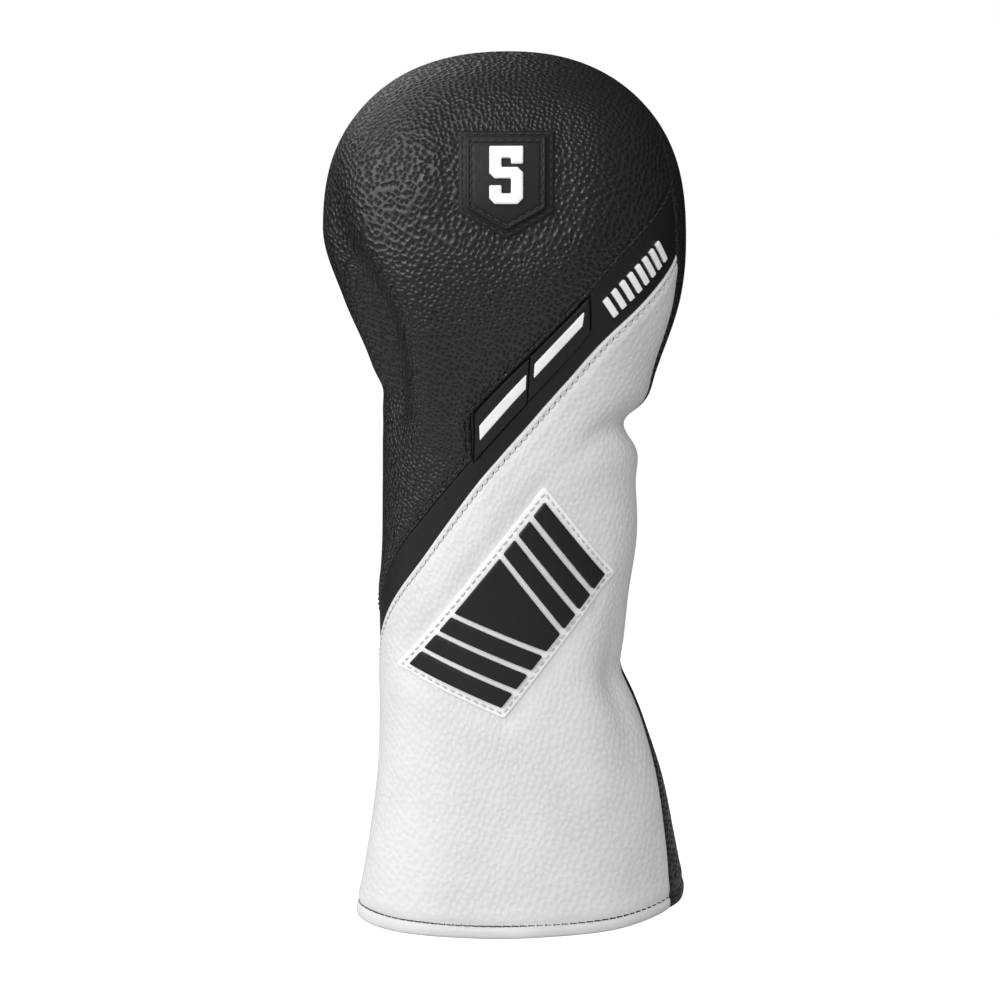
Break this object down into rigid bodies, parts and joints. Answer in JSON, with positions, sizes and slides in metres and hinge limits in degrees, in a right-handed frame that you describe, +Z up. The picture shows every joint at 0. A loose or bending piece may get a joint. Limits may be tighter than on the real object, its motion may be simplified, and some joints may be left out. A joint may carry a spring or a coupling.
{
  "type": "golf club headcover",
  "caption": "Padded leather headcover for a fairway wood, with a rounded crown, a gathered throat, a flared skirt and a numbered shield badge.",
  "frame": {"origin": "middle of the hem's outline, on the surface that the cover stands on", "axes": "+Z up towards the crown, -Y towards the front with the badge, +X to the right of the front"},
  "size_m": [0.1145, 0.0956, 0.276],
  "materials": {
    "black_leather": "pebbled black synthetic leather, satin",
    "white_leather": "pebbled white synthetic leather, satin",
    "foam": "open-cell foam",
    "lining": "short plush pile",
    "elastic": "ribbed woven elastic",
    "black_rubber": "moulded soft plastic, matt",
    "white_rubber": "moulded soft plastic, matt",
    "black_thread": "twisted polyester thread",
    "grey_thread": "twisted polyester thread"
  },
  "bodies": {
    "root": {"crown_panel": "black_leather", "front_skirt_panel": "white_leather", "back_upper_panel": "black_leather", "back_skirt_panel": "black_leather", "crown_padding": "foam", "back_padding": "foam", "pocket_lining": "lining", "skirt_lining": "lining", "throat_elastic": "elastic", "diagonal_strip": "black_rubber", "window_frame": "black_rubber", "window_bar_lower": "white_rubber", "window_bar_upper": "white_rubber", "strip_ticks": "white_rubber", "number_patch": "black_leather", "number_badge": "black_rubber", "badge_numeral": "white_rubber", "emblem_backing": "white_rubber", "emblem_bars": "black_rubber", "crown_edge_stitching": "black_thread", "skirt_edge_stitching": "grey_thread", "patch_stitching": "black_thread", "badge_stitching": "black_thread", "emblem_stitching": "grey_thread", "front_hem_stitching": "black_thread", "back_hem_stitching": "black_thread", "back_seam_stitching": "black_thread"}
  },
  "joints": []
}
